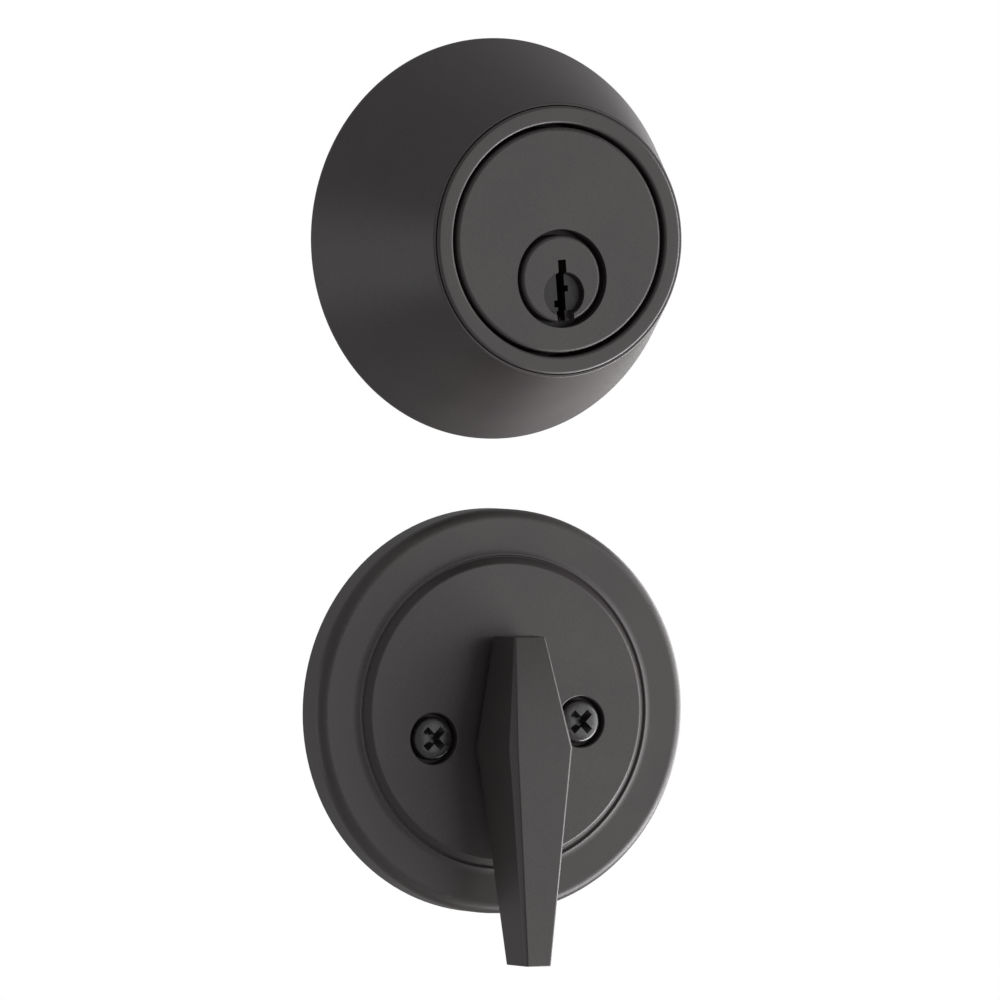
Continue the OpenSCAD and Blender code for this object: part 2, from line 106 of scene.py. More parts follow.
def add(tree, kind, settings=None, inputs=None):
    """Adds a node, sets its properties, and gives its inputs values or other nodes' outputs."""
    made = tree.nodes.new(kind)
    for name, value in (settings or {}).items():
        setattr(made, name, value)
    for name, value in (inputs or {}).items():
        if isinstance(value, bpy.types.NodeSocket):
            tree.links.new(value, made.inputs[name])
        else:
            made.inputs[name].default_value = value
    return made


def soft_lamp(name, azimuth, elevation, size, power):
    """A square lamp a metre out from the two trims, aimed at them. Azimuth 0 is straight ahead
    of them and 90 to their right."""
    a, e = math.radians(azimuth), math.radians(elevation)
    way = Vector((math.sin(a) * math.cos(e), -math.cos(a) * math.cos(e), math.sin(e)))
    lamp = bpy.data.lights.new(name, "AREA")
    lamp.size = size
    lamp.energy = power
    lamp_object = bpy.data.objects.new(name, lamp)
    lamp_object.location = Vector((0, 0, -40 * MM)) + way
    lamp_object.rotation_mode = "QUATERNION"
    lamp_object.rotation_quaternion = (-way).to_track_quat("-Z", "Y")
    lamp_object.visible_camera = False
    scene.collection.objects.link(lamp_object)


soft_lamp("front_lamp", 35, 0, 0.7, 1.5)
soft_lamp("side_lamp", 70, 0, 0.7, 5.2)
soft_lamp("rim_lamp", 112, 2, 0.7, 6.6)
soft_lamp("left_lamp", -110, -8, 0.7, 1.2)
soft_lamp("top_lamp", 0, 80, 0.7, 0.4)
# Under the table's sheet, which lets it through: the strongest one, from the right and below
soft_lamp("table_lamp", 80, -40, 0.7, 20)

world = bpy.data.worlds.new("white_studio")
world.use_nodes = True
scene.world = world
sky = world.node_tree
sky.nodes.clear()
around = add(sky, "ShaderNodeBackground", None, {"Color": linear("#ffffff"), "Strength": 0.34})
seen = add(sky, "ShaderNodeBackground", None, {"Color": linear("#ffffff"), "Strength": 1.0})
studio_light = add(sky, "ShaderNodeMixShader", None, {
    0: add(sky, "ShaderNodeLightPath").outputs["Is Camera Ray"],
    1: around.outputs["Background"], 2: seen.outputs["Background"],
})
add(sky, "ShaderNodeOutputWorld", None, {"Surface": studio_light.outputs["Shader"]})


def new_material(name):
    """An empty node material, its tree, and the object's own coordinates."""
    material = bpy.data.materials.new(name)
    material.use_nodes = True
    tree = material.node_tree
    tree.nodes.clear()
    return material, tree, add(tree, "ShaderNodeTexCoord").outputs["Object"]


def spread(tree, value, low, high, out_low, out_high):
    """Stretches a texture's value from one range to another."""
    made = add(tree, "ShaderNodeMapRange", None, {
        "Value": value, "From Min": low, "From Max": high, "To Min": out_low, "To Max": out_high,
    })
    return made.outputs["Result"]


def two_tones(tree, value, low, high, dark, light):
    """A colour that runs from dark to light as a texture's value runs from low to high."""
    made = add(tree, "ShaderNodeValToRGB", None, {"Fac": value})
    for stop, place, colour in zip(made.color_ramp.elements, (low, high), (dark, light)):
        stop.position = place
        stop.color = linear(colour)
    return made.outputs["Color"]


def noise(tree, place, size, detail=2.0):
    """Noise whose blots are about size mm across."""
    return add(tree, "ShaderNodeTexNoise", None, {
        "Vector": place, "Scale": 1 / (size * MM), "Detail": detail,
    }).outputs["Fac"]


def opal_sheet():
    """Opal acrylic, cast and matt: an even pale white with a faint mottle 8 mm across."""
    material, tree, place = new_material("opal_acrylic_sheet")
    colour = two_tones(tree, noise(tree, place, 8), 0.3, 0.7, "#eeeeec", "#f4f4f2")
    sheet = add(tree, "ShaderNodeBsdfPrincipled", None, {"Base Color": colour, "Roughness": 0.9})
    add(tree, "ShaderNodeOutputMaterial", None, {"Surface": sheet.outputs["BSDF"]})
    return material


table_r, table_gap = 0.75, 0.5 * MM
floor_mesh = bpy.data.meshes.new("studio_floor")
disc = bmesh.new()
bmesh.ops.create_circle(disc, cap_ends=True, segments=96, radius=table_r)
disc.to_mesh(floor_mesh)
disc.free()
floor_mesh.transform(Matrix.Translation((30 * MM, 0, cad_low.z - table_gap)))
floor_mesh.materials.append(opal_sheet())
floor = bpy.data.objects.new("studio_floor", floor_mesh)
# Opal acrylic lets the light under it through
floor.visible_shadow = False
floor.visible_diffuse = False
floor.visible_glossy = False
scene.collection.objects.link(floor)


# ------------------------------------------------------------------ collar
# The exterior half's shell: a cone of die-cast zinc, 65 mm across at the door. It is finished
# in a dark bronze baked coat and slides over the cylinder from the front.
def dark_bronze_coat():
    """Bronze-black powder baked on cast zinc: satin, with a fine grain, an orange peel where the
    powder flowed, and a faint mottle where it lies thicker."""
    material, tree, place = new_material("dark_bronze_coat")
    mottle = noise(tree, place, 14, 3.0)
    # The powder's own grain is near 0.1 mm, drawn at 0.3 mm so that it shows
    grain = noise(tree, place, 0.3)
    peel = noise(tree, place, 1.6, 1.0)
    tone = two_tones(tree, mottle, 0.3, 0.72, "#3b3637", "#413c3c")
    speckle = spread(tree, grain, 0.3, 0.7, 0.88, 1.12)
    colour = add(tree, "ShaderNodeVectorMath", {"operation": "SCALE"}, {0: tone, "Scale": speckle})
    fine = add(tree, "ShaderNodeBump", None, {
        "Height": grain, "Distance": 0.02 * MM, "Strength": 0.3,
    })
    flow = add(tree, "ShaderNodeBump", None, {
        "Height": peel, "Distance": 0.03 * MM, "Strength": 0.3, "Normal": fine.outputs["Normal"],
    })
    coat = add(tree, "ShaderNodeBsdfPrincipled", None, {
        "Base Color": colour.outputs["Vector"], "IOR": 1.5, "Normal": flow.outputs["Normal"],
        "Roughness": spread(tree, mottle, 0.3, 0.7, 0.38, 0.46),
    })
    add(tree, "ShaderNodeOutputMaterial", None, {"Surface": coat.outputs["BSDF"]})
    return material


def arc(centre_r, centre_h, radius, start, end, steps):
    """Points of a round edge in a lathe profile, by angle from the radius towards the height."""
    turns = [math.radians(start + (end - start) * i / steps) for i in range(steps + 1)]
    return [(centre_r + radius * math.cos(t), centre_h + radius * math.sin(t)) for t in turns]


def turned(profile, place, steps):
    """The closed outline of (radius, height) points in mm, turned about the z axis of place. Points
    on the axis become poles."""
    work = bmesh.new()
    rings = []
    for i in range(steps):
        a = 2 * math.pi * i / steps
        rings.append([
            work.verts.new((r * MM * math.cos(a), r * MM * math.sin(a), h * MM)) for r, h in profile
        ])
    for i, ring in enumerate(rings):
        after = rings[(i + 1) % steps]
        for j in range(len(profile)):
            k = (j + 1) % len(profile)
            if profile[j][0] > 0 or profile[k][0] > 0:
                work.faces.new((ring[j], ring[k], after[k], after[j]))
    bmesh.ops.remove_doubles(work, verts=work.verts, dist=1e-7)
    bmesh.ops.recalc_face_normals(work, faces=work.faces)
    work.transform(place)
    return work


def piece(name, work, material, body, slot, *nodes):
    """Makes the finished piece from a bmesh: smooth where it bends gently and crisp at its
    edges, riding on its body in place of its CAD nodes."""
    mesh = bpy.data.meshes.new(name)
    work.to_mesh(mesh)
    work.free()
    mesh.materials.clear()
    mesh.materials.append(material)
    mesh.polygons.foreach_set("material_index", [0] * len(mesh.polygons))
    mesh.polygons.foreach_set("use_smooth", [True] * len(mesh.polygons))
    mesh.set_sharp_from_angle(angle=math.radians(32))
    made = bpy.data.objects.new(name, mesh)
    scene.collection.objects.link(made)
    weigh = made.modifiers.new("face_weight", "WEIGHTED_NORMAL")
    weigh.keep_sharp = True
    made.data = bpy.data.meshes.new_from_object(
        made.evaluated_get(bpy.context.evaluated_depsgraph_get())
    )
    made.modifiers.clear()
    bpy.data.meshes.remove(mesh)
    made.data.name = name
    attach(made, body)
    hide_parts(*nodes)
    return made


def pivot(joint):
    """The point that a joint turns about."""
    return Vector(next(j["pos_m"] for j in frame["joints"] if j["name"] == joint))


def trim_place(centre, axis):
    """A trim's own frame: x right, y up and z out of the door. Its turning axis lies straight
    below its centre, which gives the trim's roll."""
    upward = (centre - axis).normalized()
    front = Vector((0, -1, 0))
    turn = Matrix((upward.cross(front), upward, front)).transposed()
    return Matrix.Translation(centre) @ turn.to_4x4()


bronze = dark_bronze_coat()
plug_axis = pivot("plug_turn")
trim_centre = Vector((
    (collar_low.x + collar_high.x) / 2, 0, (collar_low.z + collar_high.z) / 2,
))
exterior = trim_place(trim_centre, plug_axis)
collar_r = (collar_high.x - collar_low.x) / 2 / MM
collar_h = -collar_low.y / MM
mouth_r, bore_r, lip, wall = 22.1, 21.65, 0.22, 1.6
# The mouth's lip is 19 mm out and the ring's flange sits under it, down to 16.9 mm
under_lip, flange_foot, pocket_r = 19, 16.9, 23.3
collar_profile = [
    (collar_r - wall, 0), (collar_r - 0.15, 0), (collar_r, 0.15), (collar_r, 0.5),
    (collar_r - 0.12, 0.9), *arc(mouth_r - lip, collar_h - lip, lip, 24, 90, 4),
    (bore_r, collar_h), (bore_r, under_lip), (pocket_r, under_lip), (pocket_r, flange_foot),
    (collar_r - wall, 0.6),
]
piece("collar_shell", turned(collar_profile, exterior, 256), bronze, "lock", "dark_bronze", "collar")

# ------------------------------------------------------------------ guard ring
# A turned steel ring in the collar's mouth, coated as the collar is. It spins freely, so that a
# wrench can't grip the cylinder. Its flange keeps it behind the collar's lip.
ring_low, ring_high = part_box("guard_ring")
ring_h = -ring_low.y / MM
ring_r, ring_hole, ring_edge = 21.5, 18.75, 0.45
flange_r, flange_top = (ring_high.x - ring_low.x) / 2 / MM, 18.9
ring_profile = [
    (ring_hole, flange_foot), (flange_r, flange_foot), (flange_r, flange_top), (ring_r, flange_top),
    *arc(ring_r - ring_edge, ring_h - ring_edge, ring_edge, 0, 90, 5),
    *arc(ring_hole + ring_edge, ring_h - ring_edge, ring_edge, 90, 180, 5),
]
piece(
    "guard_ring_turned", turned(ring_profile, exterior, 256), bronze,
    "lock", "dark_bronze", "guard_ring",
)


# ------------------------------------------------------------------ cylinder body
# The cast housing behind the round face, with the pin tower, the plug's bore and the two tapped
# posts. Every edge is broken as tumbling and coating break it.
def softened(node, edge, sharpest=28, steps=2):
    """A CAD node as a bmesh, its flat faces joined up and its edges rounded by edge mm."""
    work = bmesh.new()
    work.from_mesh(frame["nodes"][node].data)
    bmesh.ops.remove_doubles(work, verts=work.verts, dist=0.0005 * MM)
    bmesh.ops.dissolve_limit(
        work, angle_limit=math.radians(0.2), verts=work.verts, edges=work.edges
    )
    sharp = [
        e for e in work.edges
        if len(e.link_faces) == 2 and e.calc_face_angle(0) > math.radians(sharpest)
    ]
    bmesh.ops.bevel(
        work, geom=sharp, offset=edge * MM, offset_type="OFFSET", segments=steps,
        profile=0.5, affect="EDGES", clamp_overlap=True,
    )
    return work


piece(
    "cylinder_housing", softened("cylinder_body", 0.2), bronze, "lock", "dark_bronze", "cylinder_body"
)


# ------------------------------------------------------------------ plug
# The turned brass plug with its milled keyway and the round lead-in that guides a key. Its face
# is coated with the rest; the lead-in and keyway are bare brass painted very dark, a painted shade
# for these recesses.
def recess_shade_brass():
    """Bare brass whose dark colour is painted shade for the deep lead-in and keyway: a little violet,
    uneven where keys have wiped it.
    """
    material, tree, place = new_material("brass_with_painted_recess_shade")
    smudge = noise(tree, place, 1.2, 3.0)
    metal = add(tree, "ShaderNodeBsdfPrincipled", None, {
        "Base Color": two_tones(tree, smudge, 0.35, 0.7, "#171315", "#262023"),
        "Roughness": spread(tree, smudge, 0.3, 0.7, 0.36, 0.5),
    })
    add(tree, "ShaderNodeOutputMaterial", None, {"Surface": metal.outputs["BSDF"]})
    return material


keyed_plug = piece("keyed_plug", softened("plug", 0.1), bronze, "plug", "dark_bronze", "plug")
# A second material of very dark brass, which paints the shade inside the lead-in and keyway
keyed_plug.data.materials.append(recess_shade_brass())
plug_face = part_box("plug")[0].y
plug_frame = trim_place(plug_axis, plug_axis * 2 - trim_centre).inverted()
# Where the painted recess shade goes, in mm: the lead-in's middle and radius, and half the keyway's
# width, its foot, and how far behind the face the painted shade starts
lead_in, lead_in_r = Vector((0.3, -2.5)), 3.7
keyway_half, keyway_foot, painted_shade_depth = 1.6, -5.9, 0.25
# Faces deep in the lead-in and keyway take the painted shade material
for side in keyed_plug.data.polygons:
    there = plug_frame @ side.center / MM
    depth = side.center.y - plug_face
    across = (Vector((there.x, there.y)) - lead_in).length
    in_opening = across < lead_in_r or abs(there.x - lead_in.x) < keyway_half
    if depth > painted_shade_depth * MM and in_opening and there.y > keyway_foot:
        side.material_index = 1


# ------------------------------------------------------------------ pins and springs
# Five pin stacks: pointed brass key pins in the plug, nickel-plated driver pins above them, and
# a coil spring on each, closed in by a pressed brass cover.
def worked_metal(name, dark, light, roughness, marks, depth):
    """Bare or plated metal. The marks are the size in mm of its tool or rolling marks along x, y
    and z, and depth is how deep they look in mm. They streak the gloss and the surface."""
    material, tree, place = new_material(name)
    scale = Vector([1 / (m * MM) for m in marks])
    stretched = add(tree, "ShaderNodeMapping", None, {"Vector": place, "Scale": scale})
    streak = add(tree, "ShaderNodeTexNoise", None, {
        "Vector": stretched.outputs["Vector"], "Scale": 1.0, "Detail": 3.0,
    }).outputs["Fac"]
    stain = noise(tree, place, 6, 3.0)
    low, high = roughness
    gloss = add(tree, "ShaderNodeMath", {"operation": "ADD"}, {
        0: spread(tree, streak, 0.3, 0.7, low, high), 1: spread(tree, stain, 0.3, 0.7, -0.03, 0.06),
    })
    relief = add(tree, "ShaderNodeBump", None, {
        "Height": streak, "Distance": depth * MM, "Strength": 0.5,
    })
    metal = add(tree, "ShaderNodeBsdfPrincipled", None, {
        "Base Color": two_tones(tree, stain, 0.3, 0.7, dark, light), "Metallic": 1.0,
        "Roughness": gloss.outputs["Value"], "Normal": relief.outputs["Normal"],
    })
    add(tree, "ShaderNodeOutputMaterial", None, {"Surface": metal.outputs["BSDF"]})
    return material


def joined(works):
    """Several bmeshes as one."""
    first, *others = works
    for work in others:
        spare = bpy.data.meshes.new("spare")
        work.to_mesh(spare)
        work.free()
        first.from_mesh(spare)
        bpy.data.meshes.remove(spare)
    return first


# Turned on an automatic lathe: fine rings across the pin, which give a soft yellow glint
brass = worked_metal("turned_brass", "#b8924e", "#c9a560", (0.22, 0.34), (2, 2, 0.15), 0.01)
# Barrel plated: smooth and bright with a warm grey cast
nickel = worked_metal("barrel_nickel", "#aaa59b", "#bdb9b0", (0.16, 0.26), (0.6, 0.6, 0.6), 0.004)
# Drawn wire and stamped strip, tempered: dark grey with a slight gloss along the draw
spring_steel = worked_metal(
    "tempered_spring_steel", "#6d6f73", "#83858a", (0.25, 0.38), (1.5, 0.2, 0.2), 0.005
)
driver_low, driver_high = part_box("driver_pins")
pin_r = 1.42
first_pin = -driver_low.y / MM - pin_r
pin_step = ((driver_high.y - driver_low.y) / MM - 2 * pin_r) / 4
stack = trim_place(plug_axis, plug_axis * 2 - trim_centre)


def stack_place(number, height):
    """A place on one pin stack's line, height mm above the plug's axis, z pointing up the line."""
    line = Matrix.Translation((0, height * MM, (first_pin - pin_step * number) * MM))
    return stack @ line @ Matrix.Rotation(-math.pi / 2, 4, "X")


key_pins = [
    turned([
        (0, tip), (0.3, tip), (0.5, tip + 0.12), (pin_r, tip + 1.05),
        (pin_r, 5.99), (pin_r - 0.15, 6.13), (0, 6.13),
    ], stack_place(number, 0), 32)
    for number, tip in enumerate((0.2, 0.8, -0.1, 0.5, 0.2))
]
piece("key_pins_turned", joined(key_pins), brass, "plug", "brass", "key_pins")


def repeated(name, unit, count, step, place, material):
    """A Geometry Nodes row: count copies of a mesh set out along step mm, made real at place."""
    tree = bpy.data.node_groups.new(name, "GeometryNodeTree")
    tree.interface.new_socket("Geometry", in_out="OUTPUT", socket_type="NodeSocketGeometry")
    tree.interface.new_socket("Geometry", in_out="INPUT", socket_type="NodeSocketGeometry")
    count_in = tree.interface.new_socket("Count", in_out="INPUT", socket_type="NodeSocketInt")
    step_in = tree.interface.new_socket("Step", in_out="INPUT", socket_type="NodeSocketVector")
    material_in = tree.interface.new_socket(
        "Material", in_out="INPUT", socket_type="NodeSocketMaterial"
    )
    given = add(tree, "NodeGroupInput")
    line = add(tree, "GeometryNodeMeshLine", None, {
        "Count": given.outputs["Count"], "Offset": given.outputs["Step"],
    })
    copies = add(tree, "GeometryNodeInstanceOnPoints", None, {
        "Points": line.outputs["Mesh"], "Instance": given.outputs["Geometry"],
    })
    real = add(tree, "GeometryNodeRealizeInstances", None, {"Geometry": copies.outputs["Instances"]})
    painted = add(tree, "GeometryNodeSetMaterial", None, {
        "Geometry": real.outputs["Geometry"], "Material": given.outputs["Material"],
    })
    add(tree, "NodeGroupOutput", None, {"Geometry": painted.outputs["Geometry"]})
    values = {count_in: count, step_in: [s * MM for s in step], material_in: material}
    return made_real(unit, tree, place, values)


def made_real(unit, tree, place, values):
    """Runs a Geometry Nodes tree on a bmesh and returns what it makes, at place."""
    mesh = bpy.data.meshes.new(tree.name)
    unit.to_mesh(mesh)
    unit.free()
    holder = bpy.data.objects.new(tree.name, mesh)
    scene.collection.objects.link(holder)
    row = holder.modifiers.new("nodes", "NODES")
    row.node_group = tree
    for socket, value in values.items():
        row[socket.identifier] = value
    result = bpy.data.meshes.new_from_object(
        holder.evaluated_get(bpy.context.evaluated_depsgraph_get())
    )
    work = bmesh.new()
    work.from_mesh(result)
    work.transform(place)
    bpy.data.objects.remove(holder)
    bpy.data.meshes.remove(mesh)
    bpy.data.meshes.remove(result)
    return work


driver_pin = turned([
    (0, 6.44), (pin_r - 0.2, 6.44), (pin_r, 6.64), (pin_r, 11.15), (pin_r - 0.25, 11.39), (0, 11.39),
], Matrix.Identity(4), 32)
driver_row = repeated("driver_row", driver_pin, 5, (0, pin_step, 0), stack_place(0, 0), nickel)
piece("driver_pins_turned", driver_row, nickel, "lock", "nickel", "driver_pins")


def spiral_tree(name, sides):
    """A Geometry Nodes tree that sweeps a wire of so many sides along a right-hand helix, and
    sets out a row of such helices."""
    tree = bpy.data.node_groups.new(name, "GeometryNodeTree")
    tree.interface.new_socket("Geometry", in_out="OUTPUT", socket_type="NodeSocketGeometry")
    sockets = {}
    for label in ("Turns", "Start Radius", "End Radius", "Height", "Wire Radius"):
        sockets[label] = tree.interface.new_socket(label, in_out="INPUT", socket_type="NodeSocketFloat")
    sockets["Count"] = tree.interface.new_socket("Count", in_out="INPUT", socket_type="NodeSocketInt")
    sockets["Step"] = tree.interface.new_socket("Step", in_out="INPUT", socket_type="NodeSocketVector")
    sockets["Material"] = tree.interface.new_socket(
        "Material", in_out="INPUT", socket_type="NodeSocketMaterial"
    )
    given = add(tree, "NodeGroupInput")
    helix = add(tree, "GeometryNodeCurveSpiral", None, {
        "Resolution": 28, "Rotations": given.outputs["Turns"], "Height": given.outputs["Height"],
        "Start Radius": given.outputs["Start Radius"], "End Radius": given.outputs["End Radius"],
    })
    upright = add(tree, "GeometryNodeSetCurveNormal", {"mode": "Z_UP"}, {
        "Curve": helix.outputs["Curve"],
    })
    wire = add(tree, "GeometryNodeCurvePrimitiveCircle", None, {
        "Resolution": sides, "Radius": given.outputs["Wire Radius"],
    })
    swept = add(tree, "GeometryNodeCurveToMesh", None, {
        "Curve": upright.outputs["Curve"], "Profile Curve": wire.outputs["Curve"], "Fill Caps": True,
    })
    line = add(tree, "GeometryNodeMeshLine", None, {
        "Count": given.outputs["Count"], "Offset": given.outputs["Step"],
    })
    copies = add(tree, "GeometryNodeInstanceOnPoints", None, {
        "Points": line.outputs["Mesh"], "Instance": swept.outputs["Mesh"],
    })
    real = add(tree, "GeometryNodeRealizeInstances", None, {"Geometry": copies.outputs["Instances"]})
    painted = add(tree, "GeometryNodeSetMaterial", None, {
        "Geometry": real.outputs["Geometry"], "Material": given.outputs["Material"],
    })
    add(tree, "NodeGroupOutput", None, {"Geometry": painted.outputs["Geometry"]})
    return tree, sockets


def spirals(tree, sockets, place, material, turns, radii, height, wire, count=1, step=(0, 0, 0)):
    """A row of helices at place, in mm."""
    values = {
        "Turns": turns, "Start Radius": radii[0] * MM, "End Radius": radii[1] * MM,
        "Height": height * MM, "Wire Radius": wire * MM, "Count": count,
        "Step": [s * MM for s in step], "Material": material,
    }
    work = made_real(bmesh.new(), tree, place, {sockets[k]: v for k, v in values.items()})
    bmesh.ops.recalc_face_normals(work, faces=work.faces)
    return work


round_wire = spiral_tree("coil_spring_row", 10)
spring_row = spirals(
    *round_wire, stack_place(0, 11.62), spring_steel, 7.0, (1.05, 1.05), 7.5, 0.17, 5, (0, pin_step, 0)
)
piece("pin_springs_wound", spring_row, spring_steel, "lock", "spring_steel", "pin_springs")
piece("pin_cover_pressed", softened("pin_cover", 0.12), brass, "lock", "brass", "pin_cover")

# ------------------------------------------------------------------ plug clip, cap and tailpiece
# A spring clip holds the plug in its housing, a turned brass cap closes the plug's rear, and the
# flat steel tailpiece goes through the door to the bolt.
zinc_steel = worked_metal("rolled_zinc_steel", "#9b9da0", "#b3b5b8", (0.3, 0.44), (0.5, 3, 0.5), 0.008)
piece(
    "plug_clip_stamped", softened("plug_clip", 0.08), spring_steel, "plug", "spring_steel", "plug_clip"
)
piece("tail_cap_turned", softened("tail_cap", 0.12), brass, "plug", "brass", "tail_cap")
piece(
    "tailpiece_sheared", softened("tailpiece", 0.15), zinc_steel, "tailpiece", "zinc_steel", "tailpiece"
)

# ------------------------------------------------------------------ collar insert
# A zinc-plated pressing behind the collar. Its spigot centres the lock in the door's cross bore
# and its sleeve backs the cylinder's flange.
piece(
    "collar_insert_pressed", softened("collar_insert", 0.15), zinc_steel,
    "lock", "zinc_steel", "collar_insert",
)

# ------------------------------------------------------------------ rosette
# The interior half's round cover: cast zinc 65 mm across, in the same coat. Its middle is a low
# disc with a steep edge, a groove at its foot and a low bead, and recesses for the two screws.
piece("rosette_cover", softened("rosette", 0.22, 26, 3), bronze, "lock", "dark_bronze", "rosette")

# ------------------------------------------------------------------ mounting plate
# A zinc-plated steel disc under the rosette, which takes the pull of the two screws
piece(
    "mounting_plate_stamped", softened("mounting_plate", 0.2), zinc_steel,
    "lock", "zinc_steel", "mounting_plate",
)

# ------------------------------------------------------------------ thumbturn
# A cast blade with flat facets: widest at its axis, tapering to a short upper end and a long
# lower one, with cut corners along its front. The hub below it passes through the rosette.
turn_low, turn_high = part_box("thumbturn")
turn_axis = pivot("thumbturn_turn")
blade_top, blade_foot = (turn_high.z - turn_axis.z) / MM, (turn_low.z - turn_axis.z) / MM
blade_front = -turn_low.y / MM
upright_turn = Matrix.Translation(turn_axis) @ Matrix.Rotation(math.pi / 2, 4, "X")


def blade_ring(work, place, halves, rear, front, drop):
    """One eight-cornered section across the blade. The halves are its half widths at the rear, at
    the side's front edge and on the front face. Drop is how far the side's front edge lies back."""
    wide, half, flat = halves
    corners = [
        (-wide + 0.6, rear), (wide - 0.6, rear), (wide, rear + 0.6), (half, front - drop),
        (flat, front), (-flat, front), (-half, front - drop), (-wide, rear + 0.6),
    ]
    return [work.verts.new((x * MM, place * MM, h * MM)) for x, h in corners]


def blade_work():
    """The blade lofted through three sections, its edges rounded, on its turned hub."""
    work = bmesh.new()
    rings = [
        blade_ring(work, blade_top, (3.6, 2.75, 2.6), 8.8, blade_front - 5.4, 0.3),
        blade_ring(work, 0.8, (6.4, 5.6, 4.75), 8.4, blade_front, 1.4),
        blade_ring(work, blade_foot, (2.7, 2.25, 2), 11.8, blade_front - 2, 0.4),
    ]
    for one, two in zip(rings, rings[1:]):
        for j in range(8):
            k = (j + 1) % 8
            work.faces.new((one[j], one[k], two[k], two[j]))
    work.faces.new(rings[0])
    work.faces.new(list(reversed(rings[-1])))
    bmesh.ops.recalc_face_normals(work, faces=work.faces)
    waist = set(rings[1])
    edges = [e for e in work.edges if not (e.verts[0] in waist and e.verts[1] in waist)]
    bmesh.ops.bevel(
        work, geom=edges, offset=0.22 * MM, offset_type="OFFSET", segments=3,
        profile=0.5, affect="EDGES", clamp_overlap=True,
    )
    work.transform(upright_turn)
    hub = turned([
        (4.02, 3), (5.3, 3), (5.4, 3.1), (5.4, 3.5), (4.6, 3.5), (4.6, 4.3), (5.4, 4.3), (5.4, 7.8),
        (5.9, 7.8), (6, 7.9), (6, 8.9), (4.02, 8.9),
    ], upright_turn, 96)
    return joined([work, hub])


piece("thumbturn_blade", blade_work(), bronze, "thumbturn", "dark_bronze", "thumbturn")

# ------------------------------------------------------------------ thumbturn's spindle
# The steel spindle in the hub that grips the tailpiece, the clip that holds the hub in the
# rosette, and the dished washer that gives the turn its drag.
piece(
    "turn_spindle_milled", softened("turn_spindle", 0.15), zinc_steel,
    "thumbturn", "zinc_steel", "turn_spindle",
)
piece(
    "turn_clip_stamped", softened("turn_clip", 0.08), spring_steel,
    "thumbturn", "spring_steel", "turn_clip",
)
piece(
    "turn_washer_dished", softened("turn_washer", 0.05), spring_steel,
    "thumbturn", "spring_steel", "turn_washer",
)


# ------------------------------------------------------------------ mounting screws
# Two long machine screws with pan heads and a pressed cross, in blackened steel. They pull the
# interior half to the exterior one through the door.
def blackened_steel():
    """Cold-headed steel, blackened and oiled: nearly black, glossy, with worn lighter patches.
    The oiled oxide is what shows, so it isn't metallic."""
    material, tree, place = new_material("oiled_black_steel")
    wear = noise(tree, place, 0.9, 3.0)
    pits = noise(tree, place, 0.25)
    relief = add(tree, "ShaderNodeBump", None, {
        "Height": pits, "Distance": 0.015 * MM, "Strength": 0.4,
    })
    steel = add(tree, "ShaderNodeBsdfPrincipled", None, {
        "Base Color": two_tones(tree, wear, 0.4, 0.75, "#262324", "#3a3636"),
        "Roughness": spread(tree, wear, 0.3, 0.7, 0.26, 0.38), "IOR": 1.7,
        "Normal": relief.outputs["Normal"],
    })
    add(tree, "ShaderNodeOutputMaterial", None, {"Surface": steel.outputs["BSDF"]})
    return material


def cross_cutter(span, half, depth, place):
    """The punch for a cross recess: two blades turned an eighth, tapering towards its tip."""
    work = bmesh.new()
    rings = []
    for height, length, width in ((0.4, span / 2 + 0.2, half * 1.1), (-depth, span / 5, half * 0.6)):
        corners = []
        for i in range(4):
            a = math.pi / 4 + i * math.pi / 2
            out, side = Vector((math.cos(a), math.sin(a))), Vector((-math.sin(a), math.cos(a)))
            inner = math.sqrt(2) * width
            start = Vector((math.cos(a - math.pi / 4), math.sin(a - math.pi / 4))) * inner
            corners += [start, out * length - side * width, out * length + side * width]
        rings.append([work.verts.new((c.x * MM, c.y * MM, height * MM)) for c in corners])
    count = len(rings[0])
    for j in range(count):
        k = (j + 1) % count
        work.faces.new((rings[0][j], rings[0][k], rings[1][k], rings[1][j]))
    work.faces.new(rings[0])
    work.faces.new(list(reversed(rings[1])))
    bmesh.ops.recalc_face_normals(work, faces=work.faces)
    work.transform(place)
    return work


def cut(work, tool):
    """The first bmesh less the second."""
    both = []
    for label, source in (("cut_work", work), ("cut_tool", tool)):
        mesh = bpy.data.meshes.new(label)
        source.to_mesh(mesh)
        source.free()
        both.append(bpy.data.objects.new(label, mesh))
        scene.collection.objects.link(both[-1])
    carve = both[0].modifiers.new("carve", "BOOLEAN")
    carve.operation = "DIFFERENCE"
    carve.solver = "EXACT"
    carve.object = both[1]
    mesh = bpy.data.meshes.new_from_object(
        both[0].evaluated_get(bpy.context.evaluated_depsgraph_get())
    )
    for holder in both:
        bpy.data.objects.remove(holder)
    result = bmesh.new()
    result.from_mesh(mesh)
    bpy.data.meshes.remove(mesh)
    bmesh.ops.remove_doubles(result, verts=result.verts, dist=1e-7)
    return result


black_steel = blackened_steel()
thread = spiral_tree("screw_thread", 4)
screws_low, screws_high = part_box("mounting_screws")
head_r, head_top, seat = 3.5, -screws_low.y / MM, 5.4
screw_tip = -screws_high.y / MM
quarter = Matrix.Rotation(math.pi / 2, 4, "X")


